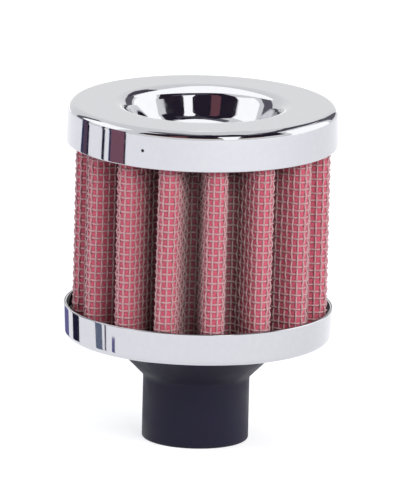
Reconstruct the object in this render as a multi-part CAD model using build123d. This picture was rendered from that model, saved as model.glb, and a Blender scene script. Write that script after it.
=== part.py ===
from build123d import *
import os
from math import acos, atan2, cos, degrees, hypot, pi, radians, sin, sqrt, tan

# Crankcase breather filter: a pleated cotton gauze pack between a pressed cap and a pressed cup,
# on a rubber neck that is clamped over a pipe stub.
# Millimetres, +Z up along the filter's axis, origin at the centre of the neck's end face.
# The front, which faces a viewer who looks along +Y, is the -Y side.

# Neck, moulded in rubber
bore_diameter = 12.0
neck_diameter = 20.4
neck_length = 12.4
bore_length = 15.4
mouth_chamfer = 0.7
neck_edge_radius = 0.5
shoulder_height = 7.5
shoulder_angle = 45.0
shoulder_fillet = 1.2
flange_clearance = 2.0
flange_grip = 1.6
flange_thickness = 1.2
funnel_wall = 2.6

# Pressed sheet of the cap and the cup
sheet = 0.6

# Top cap, with a round bowl pressed into it
cap_diameter = 52.0
cap_draft = 0.2
cap_height = 7.6
cap_corner_radius = 1.5
bowl_depth = 7.2
bowl_draft = 2.6
bowl_lip_radius = 3.0
bowl_corner_radius = 3.5

# Bottom cup, a little narrower than the cap
cup_inset = 0.2
cup_draft = 0.3
cup_height = 6.4
cup_corner_radius = 1.2

# Pleated pack
exposed_height = 31.6
pleat_count = 15
pleat_depth = 9.0
rim_clearance = 0.6
crest_radius = 2.3
valley_radius = 1.0
gauze_thickness = 0.9
bowl_clearance = 0.6
front_crest_angle = 7.0

# Wire cloth of the pack, with its upright wires as ridges on a thin backing
wires_per_pleat = 16
wire_height = 0.3
wire_width = 0.42
screen_backing = 0.15

# Joint that closes the pack's ring
seam_gap = 0.3
strip_thickness = 0.3
strip_half_angle = 55.0

# Resin end rings, each with a groove that the pack's end sits in
cup_ring_depth = 2.9
cap_ring_depth = 4.2
cup_groove_depth = 2.0
cap_groove_depth = 2.0
groove_clearance = 0.1

# Heights that follow from the sizes above
cup_bottom_z = neck_length + shoulder_height
cup_floor_z = cup_bottom_z + sheet
cup_rim_z = cup_bottom_z + cup_height
skirt_edge_z = cup_rim_z + exposed_height
cap_top_z = skirt_edge_z + cap_height
cap_ceiling_z = cap_top_z - sheet
bowl_floor_z = cap_top_z - bowl_depth
cup_ring_z = cup_floor_z + cup_ring_depth
cap_ring_z = cap_ceiling_z - cap_ring_depth
pack_bottom_z = cup_ring_z - cup_groove_depth
pack_top_z = cap_ring_z + cap_groove_depth
pack_height = pack_top_z - pack_bottom_z

# Radii that follow from the sizes above, from the outside inwards
cap_radius = cap_diameter / 2
cup_radius = cap_radius - cup_inset
pack_outer_radius = cup_radius - sheet - rim_clearance
pack_inner_radius = pack_outer_radius - pleat_depth
bowl_mouth_radius = pack_inner_radius - bowl_clearance
bowl_floor_radius = bowl_mouth_radius - bowl_draft
flange_radius = pack_inner_radius - flange_clearance
hole_radius = flange_radius - flange_grip
funnel_radius = flange_radius - funnel_wall
neck_radius = neck_diameter / 2
bore_radius = bore_diameter / 2
screen_thickness = wire_height + screen_backing
pack_thickness = screen_thickness + gauze_thickness

# Pleat layout: one crest circle and one valley circle for each pleat, joined by straight flanks
half_pitch = 180 / pleat_count
crest_centre_radius = pack_outer_radius - crest_radius
valley_centre_radius = pack_inner_radius + pack_thickness + valley_radius
first_crest_angle = front_crest_angle - 90
seam_crest = pleat_count // 2
seam_angle = first_crest_angle + (2 * seam_crest + 1) * half_pitch


def polar(radius, angle, centre=(0, 0)):
    """The point at this radius and angle, in degrees, from a centre."""
    x = centre[0] + radius * cos(radians(angle))
    y = centre[1] + radius * sin(radians(angle))
    return (x, y)


def flank_angle():
    """Direction of a flank's outward normal, from the radial direction of its own crest.

    The flank is the common inner tangent of the crest circle and the valley circle.
    """
    valley = polar(valley_centre_radius, half_pitch)
    step = (valley[0] - crest_centre_radius, valley[1])
    lean = degrees(acos((crest_radius + valley_radius) / hypot(*step)))
    return degrees(atan2(step[1], step[0])) - lean


def flank_length():
    """Length of a straight flank, between its crest and its valley."""
    valley = polar(valley_centre_radius, half_pitch)
    between = hypot(valley[0] - crest_centre_radius, valley[1])
    return sqrt(between**2 - (crest_radius + valley_radius) ** 2)


def pleat_point(run, depth):
    """Point on a pleat whose crest is on the x axis, at this depth below the outer surface.

    The run is the length along the outer surface from the crest, negative on the -y side.
    """
    lean = flank_angle()
    length = abs(run)
    crest_run = crest_radius * radians(lean)
    crest_centre = (crest_centre_radius, 0)
    flank_start = polar(crest_radius - depth, lean, crest_centre)
    valley_centre = polar(valley_centre_radius, half_pitch)
    turn = (length - crest_run - flank_length()) / valley_radius
    if length < crest_run:
        point = polar(crest_radius - depth, degrees(length / crest_radius), crest_centre)
    elif turn < 0:
        point = polar(length - crest_run, lean + 90, flank_start)
    else:
        point = polar(valley_radius + depth, lean + 180 - degrees(turn), valley_centre)
    return (point[0], point[1] if run > 0 else -point[1])


def ridged_line():
    """Closed pleated outline of the screen's outside, with a ridge for each upright wire."""
    valley_turn = radians(flank_angle() - half_pitch)
    half_run = crest_radius * radians(flank_angle()) + flank_length() + valley_radius * valley_turn
    spacing = 2 * half_run / wires_per_pleat
    ridge = [(-wire_width / 2, wire_height), (0, 0), (wire_width / 2, wire_height)]
    points = []
    for number in range(pleat_count):
        crest_angle = first_crest_angle + 2 * half_pitch * number
        for wire in range(wires_per_pleat):
            run = (wire + 0.5) * spacing - half_run
            for shift, depth in ridge:
                x, y = pleat_point(run + shift, depth)
                points.append(polar(hypot(x, y), crest_angle + degrees(atan2(y, x))))
    return Polyline(*points, close=True)


def pleat_line(depth):
    """Closed pleated outline at this depth below the pack's outer surface."""
    crest = crest_radius - depth
    valley = valley_radius + depth
    crest_half = flank_angle()
    valley_half = crest_half - half_pitch
    edges = []
    for number in range(pleat_count):
        angle = first_crest_angle + 2 * half_pitch * number
        next_angle = angle + 2 * half_pitch
        inward = angle + half_pitch + 180
        crest_centre = polar(crest_centre_radius, angle)
        next_centre = polar(crest_centre_radius, next_angle)
        valley_centre = polar(valley_centre_radius, angle + half_pitch)
        crest_end = polar(crest, angle + crest_half, crest_centre)
        valley_start = polar(valley, inward + valley_half, valley_centre)
        valley_end = polar(valley, inward - valley_half, valley_centre)
        next_start = polar(crest, next_angle - crest_half, next_centre)
        edges.append(CenterArc(crest_centre, crest, angle - crest_half, 2 * crest_half))
        edges.append(Line(crest_end, valley_start))
        edges.append(CenterArc(valley_centre, valley, inward + valley_half, -2 * valley_half))
        edges.append(Line(valley_end, next_start))
    return Wire(edges)


def seam_slit():
    """Thin upright slot through the pack, at the bottom of the rear valley."""
    reach = pack_thickness + 2 * strip_thickness
    middle = pack_inner_radius + pack_thickness / 2
    upright = (Align.CENTER, Align.CENTER, Align.MIN)
    block = Box(reach, seam_gap, pack_height, align=upright)
    return Rot(0, 0, seam_angle) * Pos(middle, 0, pack_bottom_z) * block


def pleated_sheet(outer_line, inner_line):
    """One sheet of the pack, between two closed outlines, open at the seam."""
    section = make_face(outer_line.edges()) - make_face(inner_line.edges())
    ring = extrude(section, pack_height, dir=(0, 0, 1))
    return Pos(0, 0, pack_bottom_z) * ring - seam_slit()


def outer_screen():
    """Wire cloth on the outside of the pleats."""
    return pleated_sheet(ridged_line(), pleat_line(screen_thickness))


def cotton_gauze():
    """Oiled cotton plies under the wire cloth."""
    return pleated_sheet(pleat_line(screen_thickness), pleat_line(pack_thickness))


def seam_strip():
    """Strip that bridges the seam on the inside of the pack."""
    centre = polar(valley_centre_radius, seam_angle)
    near = valley_radius + pack_thickness
    far = near + strip_thickness
    start = seam_angle + 180 - strip_half_angle
    stop = seam_angle + 180 + strip_half_angle
    section = make_face(
        [
            CenterArc(centre, near, start, 2 * strip_half_angle),
            Line(polar(near, stop, centre), polar(far, stop, centre)),
            CenterArc(centre, far, start, 2 * strip_half_angle),
            Line(polar(far, start, centre), polar(near, start, centre)),
        ]
    )
    return Pos(0, 0, pack_bottom_z) * extrude(section, pack_height, dir=(0, 0, 1))


def cap_line(depth):
    """Half section of the cap's surface at this depth below its outside, from skirt edge to centre."""
    wall_lean = atan2(bowl_draft, bowl_depth)
    shift = depth * tan(pi / 4 - wall_lean / 2)
    edge = (cap_radius - depth, skirt_edge_z)
    shoulder = (cap_radius - cap_draft - depth, cap_top_z - depth)
    lip = (bowl_mouth_radius + shift, cap_top_z - depth)
    corner = (bowl_floor_radius + shift, bowl_floor_z - depth)
    centre = (0, bowl_floor_z - depth)
    radii = [cap_corner_radius - depth, bowl_lip_radius - depth, bowl_corner_radius + depth]
    return FilletPolyline(edge, shoulder, lip, corner, centre, radius=radii)


def cup_line(depth):
    """Half section of the cup's surface at this depth inside it, from rim to hole."""
    rim = (cup_radius - depth, cup_rim_z)
    corner = (cup_radius - cup_draft - depth, cup_bottom_z + depth)
    hole = (hole_radius, cup_bottom_z + depth)
    return FilletPolyline(rim, corner, hole, radius=[cup_corner_radius - depth])


def turned(edges):
    """Solid of revolution about the axis, from the edges of a half section in x and z."""
    return revolve(Plane.XZ * make_face(edges), axis=Axis.Z)


def pressed(outside, inside):
    """Pressed sheet between its outside and inside lines."""
    ends = [Line(outside @ 0, inside @ 0), Line(outside @ 1, inside @ 1)]
    return turned(outside.edges() + inside.edges() + ends)


def top_cap():
    """Chromed cap with a skirt and a round bowl."""
    return pressed(cap_line(0), cap_line(sheet))


def bottom_cup():
    """Chromed shallow cup with a hole that the neck's groove grips."""
    return pressed(cup_line(0), cup_line(sheet))


def neck():
    """Rubber tube with a conical shoulder below the cup and a flange above the cup's floor."""
    shoulder_radius = neck_radius + shoulder_height * tan(radians(shoulder_angle))
    flange_top_z = cup_floor_z + flange_thickness
    outside = FilletPolyline(
        (bore_radius + mouth_chamfer, 0),
        (neck_radius, 0),
        (neck_radius, neck_length),
        (shoulder_radius, cup_bottom_z),
        (hole_radius, cup_bottom_z),
        radius=[neck_edge_radius, shoulder_fillet, 0],
    )
    inside = Polyline(
        (hole_radius, cup_bottom_z),
        (hole_radius, cup_floor_z),
        (flange_radius, cup_floor_z),
        (flange_radius, flange_top_z),
        (funnel_radius, flange_top_z),
        (bore_radius, bore_length),
        (bore_radius, mouth_chamfer),
        (bore_radius + mouth_chamfer, 0),
    )
    return turned(outside.edges() + inside.edges())


def end_ring(surface, closing, inner_radius, low_z, high_z):
    """Ring that fills a pressed sheet's inside from a radius outwards, with a groove for the pack.

    The closing line joins the ends of the sheet's inside line round the space that it holds.
    """
    corner = (Align.MIN, Align.MIN)
    room = make_face(surface.edges() + closing.edges())
    band = Pos(inner_radius, low_z) * Rectangle(cap_diameter, high_z - low_z, align=corner)
    groove_start = pack_inner_radius - strip_thickness - groove_clearance
    groove_width = pack_outer_radius + groove_clearance - groove_start
    groove = Pos(groove_start, pack_bottom_z) * Rectangle(groove_width, pack_height, align=corner)
    return turned(((room & band) - groove).edges())


def bottom_ring():
    """Ring in the cup, round the neck's flange."""
    surface = cup_line(sheet)
    closing = Polyline(surface @ 1, (hole_radius, cup_rim_z), surface @ 0)
    return end_ring(surface, closing, flange_radius, cup_floor_z, cup_ring_z)


def top_ring():
    """Ring in the cap, round the bowl."""
    surface = cap_line(sheet)
    skirt_foot = (cap_radius - sheet, cup_rim_z)
    closing = Polyline(surface @ 1, (0, cup_rim_z), skirt_foot, surface @ 0)
    return end_ring(surface, closing, 0, cap_ring_z, cap_ceiling_z)


parts = {
    "top_cap": top_cap(),
    "bottom_cup": bottom_cup(),
    "neck": neck(),
    "outer_screen": outer_screen(),
    "cotton_gauze": cotton_gauze(),
    "seam_strip": seam_strip(),
    "bottom_ring": bottom_ring(),
    "top_ring": top_ring(),
}

os.makedirs("parts", exist_ok=True)
for name, solid in parts.items():
    export_step(solid, f"parts/{name}.step")
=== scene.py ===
import random
from math import acos, atan2, ceil, cos, hypot, pi, radians, sin, tan

import bpy
import numpy as np
from mathutils import Matrix, Vector


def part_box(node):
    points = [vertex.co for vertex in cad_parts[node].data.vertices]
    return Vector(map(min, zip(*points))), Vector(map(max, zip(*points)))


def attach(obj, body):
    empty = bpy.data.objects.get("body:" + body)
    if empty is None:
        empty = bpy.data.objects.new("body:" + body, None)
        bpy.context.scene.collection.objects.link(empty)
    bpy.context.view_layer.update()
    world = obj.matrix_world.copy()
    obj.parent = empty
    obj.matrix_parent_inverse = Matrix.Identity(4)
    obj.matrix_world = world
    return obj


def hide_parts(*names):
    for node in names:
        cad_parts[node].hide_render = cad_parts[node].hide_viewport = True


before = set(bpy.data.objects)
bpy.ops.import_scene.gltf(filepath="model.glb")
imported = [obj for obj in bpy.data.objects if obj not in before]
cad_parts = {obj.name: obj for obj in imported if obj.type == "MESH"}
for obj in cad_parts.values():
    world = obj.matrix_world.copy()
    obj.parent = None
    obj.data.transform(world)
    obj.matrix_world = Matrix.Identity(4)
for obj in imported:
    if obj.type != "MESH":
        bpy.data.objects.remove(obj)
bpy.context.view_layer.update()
random.seed(17)

MM = 0.001

# Heights and radii that are read from the frame
cap_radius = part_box("top_cap")[1][0]
cap_top_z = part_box("top_cap")[1][2]
cup_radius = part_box("bottom_cup")[1][0]
cup_bottom_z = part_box("bottom_cup")[0][2]
cup_rim_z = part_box("bottom_cup")[1][2]
pack_bottom_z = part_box("cotton_gauze")[0][2]
pack_top_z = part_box("cotton_gauze")[1][2]
neck_bottom_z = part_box("neck")[0][2]
neck_top_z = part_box("neck")[1][2]

# Pressed sheet of the cap and the cup
sheet = 0.6 * MM
sheet_edge_radius = 0.24 * MM

# Cap
cap_height = 7.6 * MM
cap_draft = 0.2 * MM
cap_corner_radius = 1.5 * MM
bowl_depth = 7.2 * MM
bowl_draft = 2.6 * MM
bowl_lip_radius = 3.0 * MM
bowl_corner_radius = 3.5 * MM
bowl_clearance = 0.6 * MM

# Cup
cup_draft = 0.3 * MM
cup_corner_radius = 1.2 * MM

# Neck
neck_radius = 10.2 * MM
neck_length = 12.4 * MM
bore_radius = 6.0 * MM
bore_length = 15.4 * MM
mouth_chamfer = 0.7 * MM
neck_edge_radius = 0.5 * MM
shoulder_fillet = 1.2 * MM
flange_clearance = 2.0 * MM
flange_grip = 1.6 * MM
funnel_wall = 2.6 * MM

# Pleated pack
rim_clearance = 0.6 * MM
pleat_depth = 9.0 * MM
pleat_count = 15
crest_radius = 2.3 * MM
valley_radius = 1.0 * MM
pack_thickness = 1.35 * MM
screen_thickness = 0.45 * MM
front_crest_angle = radians(7.0)
seam_gap = 0.3 * MM

# Wire cloth
wire_radius = 0.20 * MM
weave_swing = 0.17 * MM
wire_depth = 0.35 * MM
wires_per_pleat = 16
upright_count = wires_per_pleat * pleat_count
hoop_count = 30
wire_sides = 6
upright_steps = 60
steps_per_crossing = 2
gauze_sink = 0.06 * MM
gauze_bulge = 0.24 * MM
gauze_steps_per_hole = 3
pack_offset = 0.3 * MM

# Radii between which the pleats' colours go from painted shade in the valleys to lit at the crests
shaded_radius = 17.2 * MM
lit_radius = 22.9 * MM

# Light of the studio's bright cards
card_light = (1.0, 1.0, 0.985)
card_light_strength = 1.66

# Sizes that follow
skirt_edge_z = cap_top_z - cap_height
bowl_floor_z = cap_top_z - bowl_depth
pack_outer_radius = cup_radius - sheet - rim_clearance
pack_inner_radius = pack_outer_radius - pleat_depth
bowl_mouth_radius = pack_inner_radius - bowl_clearance
bowl_floor_radius = bowl_mouth_radius - bowl_draft
flange_radius = pack_inner_radius - flange_clearance
hole_radius = flange_radius - flange_grip
funnel_radius = flange_radius - funnel_wall
half_pitch = pi / pleat_count
crest_centre_radius = pack_outer_radius - crest_radius
valley_centre_radius = pack_inner_radius + pack_thickness + valley_radius
first_crest_angle = front_crest_angle - pi / 2
seam_place = pleat_count // 2 + 0.5

# How far each pleat stands from its even place, in degrees, from the front pleat to the right
pleat_shift = [-0.3, -0.3, 0.9, 3.0, 1.0, -0.8, 0.6, -0.5, 0.4, -0.6, 0.8, 2.2, 2.2, 2.1, 0.4]

# How far each pleat leans, in degrees to either side, and how far its crest is pressed in
pleat_lean = [random.uniform(-0.6, 0.6) for _ in range(pleat_count)]
pleat_sink = [random.uniform(0.0, 0.15) * MM for _ in range(pleat_count)]


def rounded(points, radii, closed=False):
    """Outline with round corners, and a point close to each end of every straight run."""
    arc_step = radians(7)
    guard = 0.12 * MM
    fewest_steps = 2
    count = len(points)
    outline = []
    for number, radius in enumerate(radii):
        here = Vector(points[number])
        inside = closed or 0 < number < count - 1
        if not inside:
            outline.append(here)
            continue
        back = Vector(points[number - 1]) - here
        ahead = Vector(points[(number + 1) % count]) - here
        to_back = back.normalized()
        to_ahead = ahead.normalized()
        half = to_back.angle(to_ahead) / 2
        reach = radius / tan(half)
        if radius == 0:
            outline += [here + to_back * min(guard, back.length / 3), here]
            outline.append(here + to_ahead * min(guard, ahead.length / 3))
            continue
        centre = here + (to_back + to_ahead).normalized() * radius / sin(half)
        start = here + to_back * reach - centre
        stop = here + to_ahead * reach - centre
        sweep = start.angle_signed(stop)
        steps = max(fewest_steps, ceil(abs(sweep) / arc_step))
        outline.append(centre + start + to_back * guard)
        for step in range(steps + 1):
            outline.append(centre + Matrix.Rotation(-sweep * step / steps, 2) @ start)
        outline.append(centre + stop + to_ahead * guard)
    return outline


def mesh_piece(name, points, faces, sharp=radians(40)):
    """Object with this mesh, smooth but for edges sharper than an angle."""
    mesh = bpy.data.meshes.new(name)
    mesh.from_pydata(points, [], faces)
    mesh.validate()
    mesh.update()
    mesh.polygons.foreach_set("use_smooth", [True] * len(mesh.polygons))
    if sharp:
        mesh.set_sharp_from_angle(angle=sharp)
    piece = bpy.data.objects.new(name, mesh)
    bpy.context.scene.collection.objects.link(piece)
    return piece


def turned(name, outline, closed):
    """Piece of revolution about the axis, from points in radius and height."""
    segments = 256
    on_axis = 1e-7
    rows = []
    points = []
    for radius, height in outline:
        if radius < on_axis:
            rows.append([len(points)] * segments)
            points.append((0, 0, height))
            continue
        rows.append(list(range(len(points), len(points) + segments)))
        for number in range(segments):
            angle = 2 * pi * number / segments
            points.append((radius * cos(angle), radius * sin(angle), height))
    faces = []
    pairs = list(zip(rows, rows[1:]))
    if closed:
        pairs.append((rows[-1], rows[0]))
    for low, high in pairs:
        for number in range(segments):
            after = (number + 1) % segments
            corners = [low[number], low[after], high[after], high[number]]
            faces.append(tuple(dict.fromkeys(corners)))
    return mesh_piece(name, points, faces)


def fitted(piece, nodes, material):
    """The piece rides on the part, stands for these nodes and takes its finish."""
    piece.data.materials.clear()
    piece.data.materials.append(material)
    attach(piece, "root")
    if nodes:
        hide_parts(*nodes)
    return piece


def cap_piece():
    """Pressed cap with its skirt, shoulder, rolled lip and bowl."""
    lean = atan2(bowl_draft, bowl_depth)
    # The underside's corners stand out by this much, so that the sheet is equally thick round the bowl
    shift = sheet * tan(pi / 4 - lean / 2)
    points = [
        (0, bowl_floor_z),
        (bowl_floor_radius, bowl_floor_z),
        (bowl_mouth_radius, cap_top_z),
        (cap_radius - cap_draft, cap_top_z),
        (cap_radius, skirt_edge_z),
        (cap_radius - sheet, skirt_edge_z),
        (cap_radius - cap_draft - sheet, cap_top_z - sheet),
        (bowl_mouth_radius + shift, cap_top_z - sheet),
        (bowl_floor_radius + shift, bowl_floor_z - sheet),
        (0, bowl_floor_z - sheet),
    ]
    radii = [0, bowl_corner_radius, bowl_lip_radius, cap_corner_radius, sheet_edge_radius]
    radii += [sheet_edge_radius, cap_corner_radius - sheet, bowl_lip_radius - sheet]
    radii += [bowl_corner_radius + sheet, 0]
    return turned("cap_pressing", rounded(points, radii), closed=False)


def cup_piece():
    """Pressed cup with its open rim and the hole for the neck."""
    points = [
        (hole_radius, cup_bottom_z),
        (cup_radius - cup_draft, cup_bottom_z),
        (cup_radius, cup_rim_z),
        (cup_radius - sheet, cup_rim_z),
        (cup_radius - cup_draft - sheet, cup_bottom_z + sheet),
        (hole_radius, cup_bottom_z + sheet),
    ]
    radii = [0, cup_corner_radius, sheet_edge_radius, sheet_edge_radius, cup_corner_radius - sheet, 0]
    return turned("cup_pressing", rounded(points, radii, closed=True), closed=True)


def neck_piece():
    """Moulded rubber neck with its cone, groove, flange, funnel and bore."""
    shoulder_radius = neck_radius + cup_bottom_z - neck_length
    points = [
        (bore_radius + mouth_chamfer, neck_bottom_z),
        (neck_radius, neck_bottom_z),
        (neck_radius, neck_length),
        (shoulder_radius, cup_bottom_z),
        (hole_radius, cup_bottom_z),
        (hole_radius, cup_bottom_z + sheet),
        (flange_radius, cup_bottom_z + sheet),
        (flange_radius, neck_top_z),
        (funnel_radius, neck_top_z),
        (bore_radius, bore_length),
        (bore_radius, mouth_chamfer),
    ]
    radii = [0, neck_edge_radius, shoulder_fillet] + [0] * 8
    return turned("neck_moulding", rounded(points, radii, closed=True), closed=True)


def crest_to_valley():
    """Step from a crest's centre to the next valley's centre."""
    outward = valley_centre_radius * cos(half_pitch) - crest_centre_radius
    sideways = valley_centre_radius * sin(half_pitch)
    return outward, sideways


def flank_angle():
    """Direction of a flank's outward normal, from the radial direction of its own crest."""
    outward, sideways = crest_to_valley()
    return atan2(sideways, outward) - acos((crest_radius + valley_radius) / hypot(outward, sideways))


def flank_length():
    """Length of a straight flank between its crest and its valley."""
    return (hypot(*crest_to_valley()) ** 2 - (crest_radius + valley_radius) ** 2) ** 0.5


def line_length():
    """Length of the pack's outer line, all round."""
    crest_run = crest_radius * flank_angle()
    valley_run = valley_radius * (flank_angle() - half_pitch)
    return 2 * pleat_count * (crest_run + flank_length() + valley_run)


def turn(points, angle):
    """Points in a plane, turned about the axis by their own angles."""
    return np.stack(
        [
            points[..., 0] * np.cos(angle) - points[..., 1] * np.sin(angle),
            points[..., 0] * np.sin(angle) + points[..., 1] * np.cos(angle),
        ],
        axis=-1,
    )


def pleat_line(place):
    """Points and outward normals of the pack's outer line, before its pleats are uneven.

    A place is a number of pleats: whole at a crest, half at a valley, even along the wire cloth.
    """
    crest_half = flank_angle()
    valley_half = crest_half - half_pitch
    crest_end = Vector((crest_centre_radius + crest_radius * cos(crest_half), crest_radius * sin(crest_half)))
    valley_centre = valley_centre_radius * Vector((cos(half_pitch), sin(half_pitch)))
    flank_normal = Vector((cos(crest_half), sin(crest_half)))
    valley_start = valley_centre - valley_radius * flank_normal
    flank = valley_start - crest_end
    crest_line = crest_radius - wire_depth
    valley_line = valley_radius + wire_depth
    crest_run = crest_line * crest_half
    valley_run = valley_line * valley_half
    number = np.floor(place)
    share = place - number
    mirrored = share > 0.5
    run = np.where(mirrored, 1 - share, share) * 2 * (crest_run + flank.length + valley_run)
    around = np.clip(run / crest_line, 0, crest_half)
    along = np.clip((run - crest_run) / flank.length, 0, 1)
    within = np.clip((run - crest_run - flank.length) / valley_line, 0, valley_half)
    direction = np.where(run < crest_run, around, crest_half - within)
    normals = np.stack([np.cos(direction), np.sin(direction)], axis=-1)
    on_crest = crest_radius * normals + np.array([crest_centre_radius, 0])
    on_flank = np.array(crest_end) + along[..., None] * np.array(flank)
    on_valley = np.array(valley_centre) - valley_radius * normals
    points = np.where((run < crest_run)[..., None], on_crest, on_flank)
    points = np.where((run > crest_run + flank.length)[..., None], on_valley, points)
    flip = np.array([1, -1])
    points = np.where(mirrored[..., None], turn(points * flip, 2 * half_pitch), points)
    normals = np.where(mirrored[..., None], turn(normals * flip, 2 * half_pitch), normals)
    angle = first_crest_angle + 2 * half_pitch * number
    return turn(points, angle), turn(normals, angle)


def pleat_value(values, place):
    """A value that each pleat has of its own, blended smoothly between the crests."""
    values = np.array(values)
    number = np.floor(place).astype(int)
    blend = (1 - np.cos(pi * (place - number))) / 2
    return values[number % pleat_count] * (1 - blend) + values[(number + 1) % pleat_count] * blend


def cloth(place, height, depth):
    """Points, normals and sideways directions on the pack, at a depth below its outer surface."""
    place, height, depth = np.broadcast_arrays(place, height, depth)
    points, normals = pleat_line(place)
    points = points - normals * depth[..., None]
    rise = (height - pack_bottom_z) / (pack_top_z - pack_bottom_z) - 0.5
    crestness = (1 + np.cos(2 * pi * place)) / 2
    radius = np.linalg.norm(points, axis=-1)
    sunk = 1 - pleat_value(pleat_sink, place) * crestness / radius
    shift = np.radians(pleat_value(pleat_shift, place) + pleat_value(pleat_lean, place) * 2 * rise)
    points = turn(points * sunk[..., None], shift)
    normals = turn(normals, shift)
    points = points + np.array([pack_offset, 0])
    flat = np.zeros_like(height)[..., None]
    points = np.concatenate([points, height[..., None]], axis=-1)
    normals = np.concatenate([normals, flat], axis=-1)
    sideways = np.stack([-normals[..., 1], normals[..., 0], flat[..., 0]], axis=-1)
    return points, normals, sideways


def cloth_place(share):
    """Place on the pack at a share of the cloth, which runs from the seam round to the seam."""
    gap = seam_gap / 2 / line_length() * pleat_count
    return seam_place + gap + share * (pleat_count - 2 * gap)


def tubes(name, centres, first, second):
    """Round wires along rows of centres, each ring in the plane of two directions."""
    wires, steps = centres.shape[:2]
    angles = np.arange(wire_sides) * 2 * pi / wire_sides
    rings = centres[:, :, None, :] + wire_radius * (
        np.cos(angles)[None, None, :, None] * first[:, :, None, :]
        + np.sin(angles)[None, None, :, None] * second[:, :, None, :]
    )
    index = np.arange(wires * steps * wire_sides).reshape(wires, steps, wire_sides)
    after = np.roll(index, -1, axis=2)
    quads = np.stack([index[:, :-1], after[:, :-1], after[:, 1:], index[:, 1:]], axis=-1).reshape(-1, 4)
    starts = [tuple(ring[::-1]) for ring in index[:, 0].tolist()]
    stops = [tuple(ring) for ring in index[:, -1].tolist()]
    return mesh_piece(name, rings.reshape(-1, 3).tolist(), quads.tolist() + starts + stops, sharp=None)


def upright_wires():
    """Wires of the cloth that run up the pleats, over one hoop and under the next."""
    share = (np.arange(upright_count) + 0.5)[:, None] / upright_count
    rows = np.linspace(0, hoop_count, upright_steps + 1)[None, :]
    height = pack_bottom_z + rows / hoop_count * (pack_top_z - pack_bottom_z)
    parity = np.arange(upright_count)[:, None]
    swing = weave_swing * np.cos(pi * (rows - 0.5 + parity))
    points, normals, sideways = cloth(cloth_place(share), height, wire_depth - swing)
    return tubes("wire_uprights", points, normals, sideways)


def hoop_wires():
    """Wires of the cloth that follow the pleats round the pack."""
    steps = upright_count * steps_per_crossing
    columns = np.linspace(0, upright_count, steps + 1)[None, :]
    rows = np.arange(hoop_count)[:, None]
    height = pack_bottom_z + (rows + 0.5) / hoop_count * (pack_top_z - pack_bottom_z)
    swing = -weave_swing * np.cos(pi * (columns - 0.5 + rows))
    points, normals, sideways = cloth(cloth_place(columns / upright_count), height, wire_depth - swing)
    upward = np.zeros_like(normals)
    upward[..., 2] = 1
    return tubes("wire_hoops", points, upward, normals)


def gauze_cloth():
    """The cotton plies as one closed cloth, which swells a little through each hole of the screen.

    Its outside is a fine grid, and its inside has only a bottom and a top row.
    """
    columns = np.linspace(0, upright_count, upright_count * gauze_steps_per_hole + 1)
    rows = np.linspace(0, hoop_count, hoop_count * gauze_steps_per_hole + 1)
    place = cloth_place(columns / upright_count)[:, None]
    height = (pack_bottom_z + rows / hoop_count * (pack_top_z - pack_bottom_z))[None, :]
    swell = np.outer(1 + np.cos(2 * pi * columns), 1 + np.cos(2 * pi * rows)) / 4
    outer, _, _ = cloth(place, height, screen_thickness + gauze_sink - gauze_bulge * swell)
    inner, _, _ = cloth(place, height[:, [0, -1]], pack_thickness)
    across, up = outer.shape[:2]
    index = np.arange(across * up).reshape(across, up)
    back = across * up + np.arange(across * 2).reshape(across, 2)
    faces = np.stack([index[:-1, :-1], index[1:, :-1], index[1:, 1:], index[:-1, 1:]], axis=-1).reshape(-1, 4)
    faces = faces.tolist()
    for column in range(across - 1):
        after = column + 1
        faces.append((back[column, 0], back[column, 1], back[after, 1], back[after, 0]))
        faces.append((index[column, 0], back[column, 0], back[after, 0], index[after, 0]))
        faces.append((index[after, -1], back[after, 1], back[column, 1], index[column, -1]))
    faces.append(tuple(index[0, :]) + (back[0, 1], back[0, 0]))
    faces.append(tuple(index[-1, ::-1]) + (back[-1, 0], back[-1, 1]))
    faces = [tuple(int(corner) for corner in face) for face in faces]
    points = np.concatenate([outer.reshape(-1, 3), inner.reshape(-1, 3)]).tolist()
    return mesh_piece("gauze_plies", points, faces, sharp=radians(60))


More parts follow.
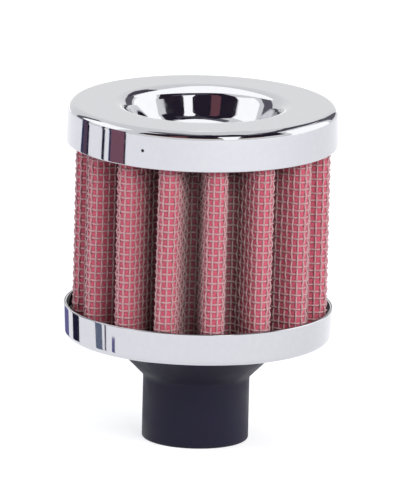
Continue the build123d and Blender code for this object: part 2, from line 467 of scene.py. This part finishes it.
class Nodes:
    """A material with its shader, and short ways to add what feeds it."""

    def __init__(self, name, colour, roughness, metallic=0.0, specular=0.5):
        self.material = bpy.data.materials.new(name)
        self.material.use_nodes = True
        self.tree = self.material.node_tree
        self.shader = self.tree.nodes["Principled BSDF"]
        self.shader.inputs["Base Color"].default_value = (*colour, 1)
        self.shader.inputs["Roughness"].default_value = roughness
        self.shader.inputs["Metallic"].default_value = metallic
        self.shader.inputs["Specular IOR Level"].default_value = specular
        self.place = self.tree.nodes.new("ShaderNodeTexCoord").outputs["Object"]

    def add(self, kind, **settings):
        """A new node with these settings."""
        node = self.tree.nodes.new(kind)
        for key, value in settings.items():
            setattr(node, key, value)
        return node

    def link(self, source, target):
        self.tree.links.new(source, target)

    def feed(self, socket, value):
        """A socket takes another node's output, or a plain value."""
        if isinstance(value, bpy.types.NodeSocket):
            self.link(value, socket)
        else:
            socket.default_value = value

    def maths(self, operation, first, second=0.0, third=0.0):
        """Result of one sum on up to three values."""
        node = self.add("ShaderNodeMath", operation=operation)
        for socket, value in zip(node.inputs, (first, second, third)):
            self.feed(socket, value)
        return node.outputs[0]

    def noise(self, scale, detail, stretch=(1, 1, 1)):
        """Noise in the part's own space, from about 0 to 1."""
        mapping = self.add("ShaderNodeMapping")
        mapping.inputs["Scale"].default_value = stretch
        self.link(self.place, mapping.inputs["Vector"])
        texture = self.add("ShaderNodeTexNoise")
        texture.inputs["Scale"].default_value = scale
        texture.inputs["Detail"].default_value = detail
        self.link(mapping.outputs[0], texture.inputs["Vector"])
        return texture.outputs["Fac"]

    def range(self, value, low, high, start, stop):
        """A value between two limits, turned smoothly into one between two others."""
        node = self.add("ShaderNodeMapRange")
        node.interpolation_type = "SMOOTHSTEP"
        for socket, number in zip(node.inputs, (value, low, high, start, stop)):
            self.feed(socket, number)
        return node.outputs[0]

    def mix(self, share, first, second):
        """Colour between two others."""
        node = self.add("ShaderNodeMix", data_type="RGBA")
        self.feed(node.inputs[0], share)
        for socket, value in zip(node.inputs[6:8], (first, second)):
            self.feed(socket, value if isinstance(value, bpy.types.NodeSocket) else (*value, 1))
        return node.outputs[2]

    def distance(self, point, stretch=(1, 1, 1)):
        """Distance from a point of the part, with each axis stretched."""
        move = self.add("ShaderNodeVectorMath", operation="SUBTRACT")
        self.link(self.place, move.inputs[0])
        move.inputs[1].default_value = point
        scale = self.add("ShaderNodeVectorMath", operation="MULTIPLY")
        self.link(move.outputs[0], scale.inputs[0])
        scale.inputs[1].default_value = stretch
        length = self.add("ShaderNodeVectorMath", operation="LENGTH")
        self.link(scale.outputs[0], length.inputs[0])
        return length.outputs["Value"]

    def bump(self, height, depth, strength):
        """Fine relief on the surface."""
        node = self.add("ShaderNodeBump")
        node.inputs["Strength"].default_value = strength
        node.inputs["Distance"].default_value = depth
        self.link(height, node.inputs["Height"])
        self.link(node.outputs[0], self.shader.inputs["Normal"])

    def colour(self, value):
        self.link(value, self.shader.inputs["Base Color"])

    def roughness(self, value):
        self.link(value, self.shader.inputs["Roughness"])


def chrome_material():
    """Bright plating, with faint waves of the pressing, a dark speck and a faint ring mark."""
    speck_place = (-11.3 * MM, -23.45 * MM, 61.3 * MM)
    speck_radius = 0.42 * MM
    speck_core = 0.6
    mark_place = (21.4 * MM, -11.0 * MM, 65.0 * MM)
    mark_radius = 1.0 * MM
    mark_width = 0.25 * MM
    mark_strength = 0.12
    chrome = Nodes("chrome_plate", (0.57, 0.575, 0.60), 0.05, metallic=1.0)
    waves = chrome.noise(scale=60, detail=2)
    haze = chrome.noise(scale=900, detail=4)
    speck = chrome.range(chrome.distance(speck_place), speck_radius * speck_core, speck_radius, 1, 0)
    off_ring = chrome.maths("SUBTRACT", chrome.distance(mark_place), mark_radius)
    ring = chrome.range(chrome.maths("ABSOLUTE", off_ring), 0, mark_width, mark_strength, 0)
    plate = chrome.mix(haze, (0.545, 0.55, 0.585), (0.59, 0.595, 0.62))
    marked = chrome.mix(ring, plate, (0.35, 0.33, 0.38))
    chrome.colour(chrome.mix(speck, marked, (0.03, 0.025, 0.03)))
    finish = chrome.range(haze, 0.3, 0.7, 0.035, 0.075)
    chrome.roughness(chrome.maths("ADD", finish, chrome.maths("MULTIPLY", speck, 0.5)))
    chrome.bump(waves, 0.05 * MM, 0.35)
    return chrome.material


def rubber_material():
    """Black moulded rubber, with a fine grain and faint clouds."""
    rubber = Nodes("moulded_rubber", (0.012, 0.011, 0.024), 0.55, specular=0.18)
    grain = rubber.noise(scale=5200, detail=4)
    clouds = rubber.noise(scale=160, detail=4)
    rubber.colour(rubber.mix(clouds, (0.008, 0.007, 0.018), (0.017, 0.015, 0.034)))
    rubber.roughness(rubber.range(clouds, 0.3, 0.7, 0.42, 0.58))
    rubber.bump(grain, 0.03 * MM, 0.5)
    return rubber.material


def painted_light_share(nodes):
    """Painted shade: 0 in the pleats' valleys, where shade falls, and 1 at their lit crests."""
    from_axis = nodes.distance((0, 0, 0), stretch=(1, 1, 0))
    return nodes.range(from_axis, shaded_radius, lit_radius, 0, 1)


def wire_material():
    """Coated wire, pinkish from the dye and the oil, with painted shade that makes it darker and greyer in
    the valleys.
    """
    wire = Nodes("coated_wire", (0.62, 0.5, 0.5), 0.6, metallic=0.1, specular=0.3)
    stain = wire.noise(scale=420, detail=3)
    fine = wire.noise(scale=2600, detail=2)
    bright = wire.mix(stain, (0.60, 0.33, 0.345), (0.52, 0.255, 0.29))
    lit_crest_colour = wire.mix(fine, bright, (0.57, 0.37, 0.385))
    # Painted shade: the wire's darker, greyer copy for the pleat valleys
    painted_valley_shade = wire.mix(fine, (0.26, 0.17, 0.17), (0.40, 0.29, 0.28))
    wire.colour(wire.mix(painted_light_share(wire), painted_valley_shade, lit_crest_colour))
    wire.roughness(wire.range(fine, 0.3, 0.7, 0.5, 0.7))
    return wire.material


def gauze_material():
    """Red oiled cotton, with its thread and painted shade in the valleys."""
    gauze = Nodes("oiled_gauze", (0.5, 0.06, 0.1), 0.75, specular=0.3)
    cloud = gauze.noise(scale=240, detail=4)
    thread = gauze.noise(scale=3400, detail=3)
    bright = gauze.mix(cloud, (0.62, 0.085, 0.15), (0.50, 0.06, 0.11))
    lit_crest_colour = gauze.mix(thread, bright, (0.66, 0.15, 0.21))
    # Painted shade: the cotton's darker red copy for the pleat valleys
    painted_valley_shade = gauze.mix(thread, (0.20, 0.05, 0.075), (0.32, 0.08, 0.10))
    gauze.colour(gauze.mix(painted_light_share(gauze), painted_valley_shade, lit_crest_colour))
    gauze.bump(thread, 0.06 * MM, 0.6)
    gauze.shader.inputs["Sheen Weight"].default_value = 0.15
    return gauze.material


def strip_material():
    """Rolled strip with lengthwise grain."""
    strip = Nodes("rolled_strip", (0.5, 0.5, 0.5), 0.35, metallic=1.0)
    grain = strip.noise(scale=2400, detail=2, stretch=(1, 1, 0.05))
    strip.colour(strip.mix(grain, (0.42, 0.42, 0.42), (0.56, 0.56, 0.55)))
    strip.roughness(strip.range(grain, 0.3, 0.7, 0.28, 0.42))
    return strip.material


def resin_material():
    """Dark cast resin, smooth with a slow ripple."""
    resin = Nodes("cast_resin", (0.04, 0.035, 0.045), 0.4)
    ripple = resin.noise(scale=180, detail=3)
    resin.colour(resin.mix(ripple, (0.028, 0.022, 0.03), (0.05, 0.04, 0.05)))
    resin.bump(ripple, 0.2 * MM, 0.4)
    return resin.material


def finish_node(name, material):
    """A CAD node keeps its mesh and gets a material."""
    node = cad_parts[name]
    for slot in node.material_slots:
        slot.material = material
    if not node.material_slots:
        node.data.materials.append(material)


def glow(name, colour, strength):
    """Plain lit surface of a studio card."""
    material = bpy.data.materials.new(name)
    material.use_nodes = True
    tree = material.node_tree
    tree.nodes.clear()
    light = tree.nodes.new("ShaderNodeEmission")
    light.inputs["Color"].default_value = (*colour, 1)
    light.inputs["Strength"].default_value = strength
    output = tree.nodes.new("ShaderNodeOutputMaterial")
    tree.links.new(light.outputs[0], output.inputs["Surface"])
    return material


def card(name, material, rows):
    """Studio card that only reflections show, from rows of points."""
    width = len(rows[0])
    faces = []
    for row in range(len(rows) - 1):
        for column in range(width - 1):
            first = row * width + column
            faces.append((first, first + 1, first + width + 1, first + width))
    piece = mesh_piece(name, [point for row in rows for point in row], faces, sharp=None)
    piece.data.materials.append(material)
    piece.visible_camera = False
    piece.visible_diffuse = False
    piece.visible_transmission = False
    piece.visible_shadow = False
    return piece


def strip_rows(first_edge, second_edge, place):
    """Rows of points between two edges, which are lists of pairs of numbers that place makes into points."""
    steps_along = 8
    steps_across = 24
    shares = [step / steps_across for step in range(steps_across + 1)]
    rows = []
    for number in range(len(first_edge) - 1):
        for step in range(steps_along + 1):
            along = step / steps_along
            left = Vector(first_edge[number]).lerp(Vector(first_edge[number + 1]), along)
            right = Vector(second_edge[number]).lerp(Vector(second_edge[number + 1]), along)
            rows.append([place(*left.lerp(right, share)) for share in shares])
    return rows


def heading(azimuth, elevation):
    """Unit direction from an azimuth, which is 0 at the front, and an elevation, in degrees."""
    flat = cos(radians(elevation))
    return Vector((flat * sin(radians(azimuth)), -flat * cos(radians(azimuth)), sin(radians(elevation))))


def sky_card(name, material, first_edge, second_edge, layer=0):
    """Card on a wide dome between two edges of azimuth and elevation, with azimuth 0 at the front.

    A card on a higher layer hangs in front of the others.
    """
    layer_gap = 0.004
    dome_radius = 0.7 - layer_gap * layer
    centre = Vector((0, 0, cap_top_z))

    def place(azimuth, elevation):
        return centre + dome_radius * heading(azimuth, elevation)

    return card(name, material, strip_rows(first_edge, second_edge, place))


def near_card(name, material, low, high, bottom, top):
    """Upright card close to the part, from its azimuths at the bottom and top and its two heights."""
    wall_radius = 70 * MM

    def place(azimuth, height):
        return wall_radius * heading(azimuth, 0) + Vector((0, 0, height * MM))

    first_edge = [(low[0], bottom), (high[0], top)]
    second_edge = [(low[1], bottom), (high[1], top)]
    return card(name, material, strip_rows(first_edge, second_edge, place))


def roof_card(name, material, centre, half_size, height):
    """Level oval card above the cap, from its centre, half sizes and height in millimetres."""
    rings = 6
    around = 48
    inner_share = 0.02
    rows = []
    for ring in range(rings + 1):
        share = inner_share + (1 - inner_share) * ring / rings
        row = []
        for step in range(around + 1):
            angle = 2 * pi * step / around
            x = centre[0] + half_size[0] * share * sin(angle)
            y = centre[1] + half_size[1] * share * cos(angle)
            row.append(Vector((x * MM, y * MM, cap_top_z + height * MM)))
        rows.append(row)
    return card(name, material, rows)


def sky_cards():
    """Dark and light panels round the studio, which the cap's rim and bowl show."""
    dark = glow("card_dark", (0.025, 0.019, 0.033), 1.0)
    grey = glow("card_grey", (0.16, 0.15, 0.18), 1.0)
    pale = glow("card_pale", (0.38, 0.37, 0.40), 1.0)
    arch = glow("card_arch", (0.10, 0.09, 0.12), 1.0)
    tan_brown = glow("card_tan", (0.66, 0.42, 0.24), 1.0)
    red = glow("card_red", (0.19, 0.075, 0.095), 1.0)
    light = glow("card_light", card_light, card_light_strength)
    sky_card("dark_front", dark, [(-58, 21), (-57, 42), (-46, 52), (-35, 62)],
             [(18, 21), (17, 45), (16, 55), (12, 62)])
    sky_card("grey_above", grey, [(-70, 56), (-80, 64), (-90, 72)], [(17, 56), (17, 64), (20, 72)], layer=-1)
    sky_card("pale_above", pale, [(-90, 72), (-100, 82)], [(20, 72), (30, 82)], layer=-1)
    sky_card("tan_front", tan_brown, [(-50, 17), (-50, 21)], [(54, 17), (54, 21)])
    sky_card("dark_right", dark, [(29, 21), (36, 35), (40, 48), (48, 58)],
             [(76, 21), (79, 35), (86, 46), (96, 55)])
    sky_card("dark_over", dark, [(6, 47), (6, 62), (0, 76)], [(52, 47), (62, 62), (75, 76)])
    sky_card("pale_right", pale, [(48, 50), (56, 66)], [(112, 50), (112, 66)], layer=-1)
    sky_card("dark_arch", arch, [(84, 48), (100, 52), (120, 50), (136, 45), (148, 34), (154, 22)],
             [(84, 60), (100, 62), (122, 60), (146, 53), (164, 41), (170, 30)])
    sky_card("grey_back_right", grey, [(139, 3), (140, 34)], [(158, 3), (160, 26)])
    sky_card("dark_back_left", grey, [(-133, 3), (-135, 24), (-142, 40)], [(-111, 3), (-109, 24), (-116, 42)])
    sky_card("red_front", red, [(-29, 22), (-30, 36), (-26, 44)], [(-13, 22), (-14, 36), (-12, 44)], layer=1)
    sky_card("light_centre", light, [(18, 2), (18, 28), (14, 38), (18, 47)],
             [(28, 2), (33, 28), (36, 38), (31, 47)], layer=1)
    sky_card("light_right", light, [(80, -4), (82, 30), (94, 46)], [(133, -4), (133, 24), (126, 42)], layer=1)
    sky_card("lobe_left", light, [(160, -5), (160, 0)], [(180, -5), (180, 3)])
    sky_card("lobe_right", light, [(-180, -5), (-180, 3)], [(-148, -5), (-148, -1)])
    roof_height = 11.6
    roof_card("light_roof", light, (1.0, 15.0), (4.0, 9.2), roof_height)
    roof_card("dark_bar", arch, (4.5, 1.0), (6.0, 2.4), roof_height)


def near_cards():
    """Upright things at the left, which the skirt and the cup show as bands, and one light for the bowl."""
    dark = glow("near_dark", (0.02, 0.02, 0.045), 1.0)
    navy = glow("near_navy", (0.035, 0.05, 0.13), 1.0)
    violet = glow("near_violet", (0.16, 0.15, 0.34), 1.0)
    plum = glow("near_plum", (0.13, 0.085, 0.13), 1.0)
    rose = glow("near_rose", (0.27, 0.12, 0.165), 1.0)
    steel = glow("near_steel", (0.18, 0.21, 0.30), 1.0)
    light = glow("near_light", card_light, card_light_strength)
    skirt_low = 34
    skirt_high = 76
    bowl_low = 78
    bowl_high = 126
    near_card("bowl_light", light, (-108.0, -66.0), (-106.0, -64.0), bowl_low, bowl_high)
    near_card("skirt_navy", navy, (-108.1, -104.5), (-101.5, -99.5), skirt_low, skirt_high)
    near_card("skirt_plum", plum, (-104.5, -97.0), (-99.5, -97.0), skirt_low, skirt_high)
    near_card("skirt_dark", dark, (-97.0, -94.4), (-97.0, -94.4), skirt_low, skirt_high)
    near_card("skirt_thin", dark, (-78.8, -75.8), (-78.8, -75.8), skirt_low, skirt_high)
    near_card("skirt_rose_edge", navy, (-71.5, -69.6), (-71.5, -69.6), skirt_low, skirt_high)
    near_card("skirt_rose", rose, (-69.6, -57.4), (-69.6, -57.4), skirt_low, skirt_high)
    near_card("skirt_rose_end", dark, (-57.4, -56.0), (-57.4, -56.0), skirt_low, skirt_high)
    cup_low = 0.5
    cup_high = 24
    patch_high = 8.5
    near_card("cup_violet", violet, (-144.0, -127.6), (-144.0, -127.6), cup_low, cup_high)
    near_card("cup_navy", dark, (-117.5, -105.4), (-117.5, -105.4), cup_low, cup_high)
    near_card("cup_steel", steel, (-82.0, -75.0), (-85.5, -77.0), cup_low, cup_high)
    near_card("cup_thin", plum, (-73.2, -71.6), (-73.2, -71.6), cup_low, cup_high)
    near_card("cup_patch", violet, (-66.0, -63.2), (-66.0, -63.2), cup_low, patch_high)


def lamp(name, azimuth, elevation, distance, size, power, colour=(1, 1, 1)):
    """Soft square lamp that points at the part."""
    aim_height = 0.04
    data = bpy.data.lights.new(name, "AREA")
    data.size = size
    data.energy = power
    data.color = colour
    piece = bpy.data.objects.new(name, data)
    bpy.context.scene.collection.objects.link(piece)
    away = heading(azimuth, elevation)
    piece.location = Vector((0, 0, aim_height)) + away * distance
    piece.rotation_euler = away.to_track_quat("Z", "Y").to_euler()
    piece.visible_glossy = False
    piece.visible_camera = False
    return piece


def seen_flag(tree):
    """1 for rays from the camera, and for what metal and glass show."""
    path = tree.nodes.new("ShaderNodeLightPath")
    first = tree.nodes.new("ShaderNodeMath")
    first.operation = "MAXIMUM"
    tree.links.new(path.outputs["Is Camera Ray"], first.inputs[0])
    tree.links.new(path.outputs["Is Glossy Ray"], first.inputs[1])
    second = tree.nodes.new("ShaderNodeMath")
    second.operation = "MAXIMUM"
    tree.links.new(first.outputs[0], second.inputs[0])
    tree.links.new(path.outputs["Is Transmission Ray"], second.inputs[1])
    return second.outputs[0]


def studio():
    """White surroundings, a pale floor that keeps the shadow, and soft lamps."""
    surround_level = 0.5
    floor_lift = 0.6
    world = bpy.data.worlds.new("studio_world")
    bpy.context.scene.world = world
    world.use_nodes = True
    tree = world.node_tree
    background = tree.nodes["Background"]
    background.inputs["Color"].default_value = (1, 1, 1, 1)
    level = tree.nodes.new("ShaderNodeMapRange")
    level.inputs["To Min"].default_value = surround_level
    level.inputs["To Max"].default_value = 1.0
    tree.links.new(seen_flag(tree), level.inputs["Value"])
    tree.links.new(level.outputs[0], background.inputs["Strength"])

    floor_half = 6.0
    corners = [(x * floor_half, y * floor_half, 0) for x, y in [(-1, -1), (1, -1), (1, 1), (-1, 1)]]
    floor = mesh_piece("floor", corners, [(0, 1, 2, 3)], sharp=None)
    material = bpy.data.materials.new("floor_paper")
    material.use_nodes = True
    tree = material.node_tree
    shader = tree.nodes["Principled BSDF"]
    shader.inputs["Base Color"].default_value = (0.60, 0.60, 0.61, 1)
    shader.inputs["Roughness"].default_value = 0.9
    shader.inputs["Specular IOR Level"].default_value = 0.0
    shader.inputs["Emission Color"].default_value = (1, 1, 1, 1)
    lift = tree.nodes.new("ShaderNodeMath")
    lift.operation = "MULTIPLY"
    tree.links.new(seen_flag(tree), lift.inputs[0])
    lift.inputs[1].default_value = floor_lift
    tree.links.new(lift.outputs[0], shader.inputs["Emission Strength"])
    floor.data.materials.append(material)

    lamp("lamp_key", azimuth=26, elevation=30, distance=1.2, size=0.5, power=6.4)
    lamp("lamp_side", azimuth=60, elevation=20, distance=1.2, size=0.4, power=3.4)
    lamp("lamp_left", azimuth=-80, elevation=26, distance=1.2, size=0.8, power=5.4, colour=(0.95, 0.96, 1.0))
    lamp("lamp_back", azimuth=170, elevation=55, distance=1.3, size=0.8, power=1.6)
    lamp("lamp_right", azimuth=100, elevation=10, distance=1.2, size=0.3, power=1.4, colour=(0.80, 0.84, 1.0))
    lamp("lamp_rim", azimuth=-125, elevation=14, distance=1.2, size=0.4, power=1.6, colour=(0.45, 0.55, 1.0))


def camera():
    """Long lens at the photograph's height and lean, near enough for the views from other sides."""
    target = Vector((0.1, 0, 36.73)) * MM
    elevation = radians(13.3)
    lean = radians(1.45)
    distance = 3.2
    lens_per_metre = 376.56
    data = bpy.data.cameras.new("camera")
    data.lens = lens_per_metre * distance
    piece = bpy.data.objects.new("camera", data)
    bpy.context.scene.collection.objects.link(piece)
    away = Vector((0, -cos(elevation), sin(elevation)))
    piece.location = target + away * distance
    look = away.to_track_quat("Z", "Y").to_matrix()
    piece.rotation_euler = (look @ Matrix.Rotation(lean, 3, "Z")).to_euler()
    bpy.context.scene.camera = piece


chrome = chrome_material()
wire = wire_material()
resin = resin_material()
fitted(cap_piece(), ["top_cap"], chrome)
fitted(cup_piece(), ["bottom_cup"], chrome)
fitted(neck_piece(), ["neck"], rubber_material())
fitted(upright_wires(), ["outer_screen"], wire)
fitted(hoop_wires(), [], wire)
gauze = fitted(gauze_cloth(), ["cotton_gauze"], gauze_material())
line_length()
finish_node("seam_strip", strip_material())
finish_node("bottom_ring", resin)
finish_node("top_ring", resin)

sky_cards()
near_cards()
studio()
camera()
bpy.context.scene.view_settings.view_transform = "Standard"
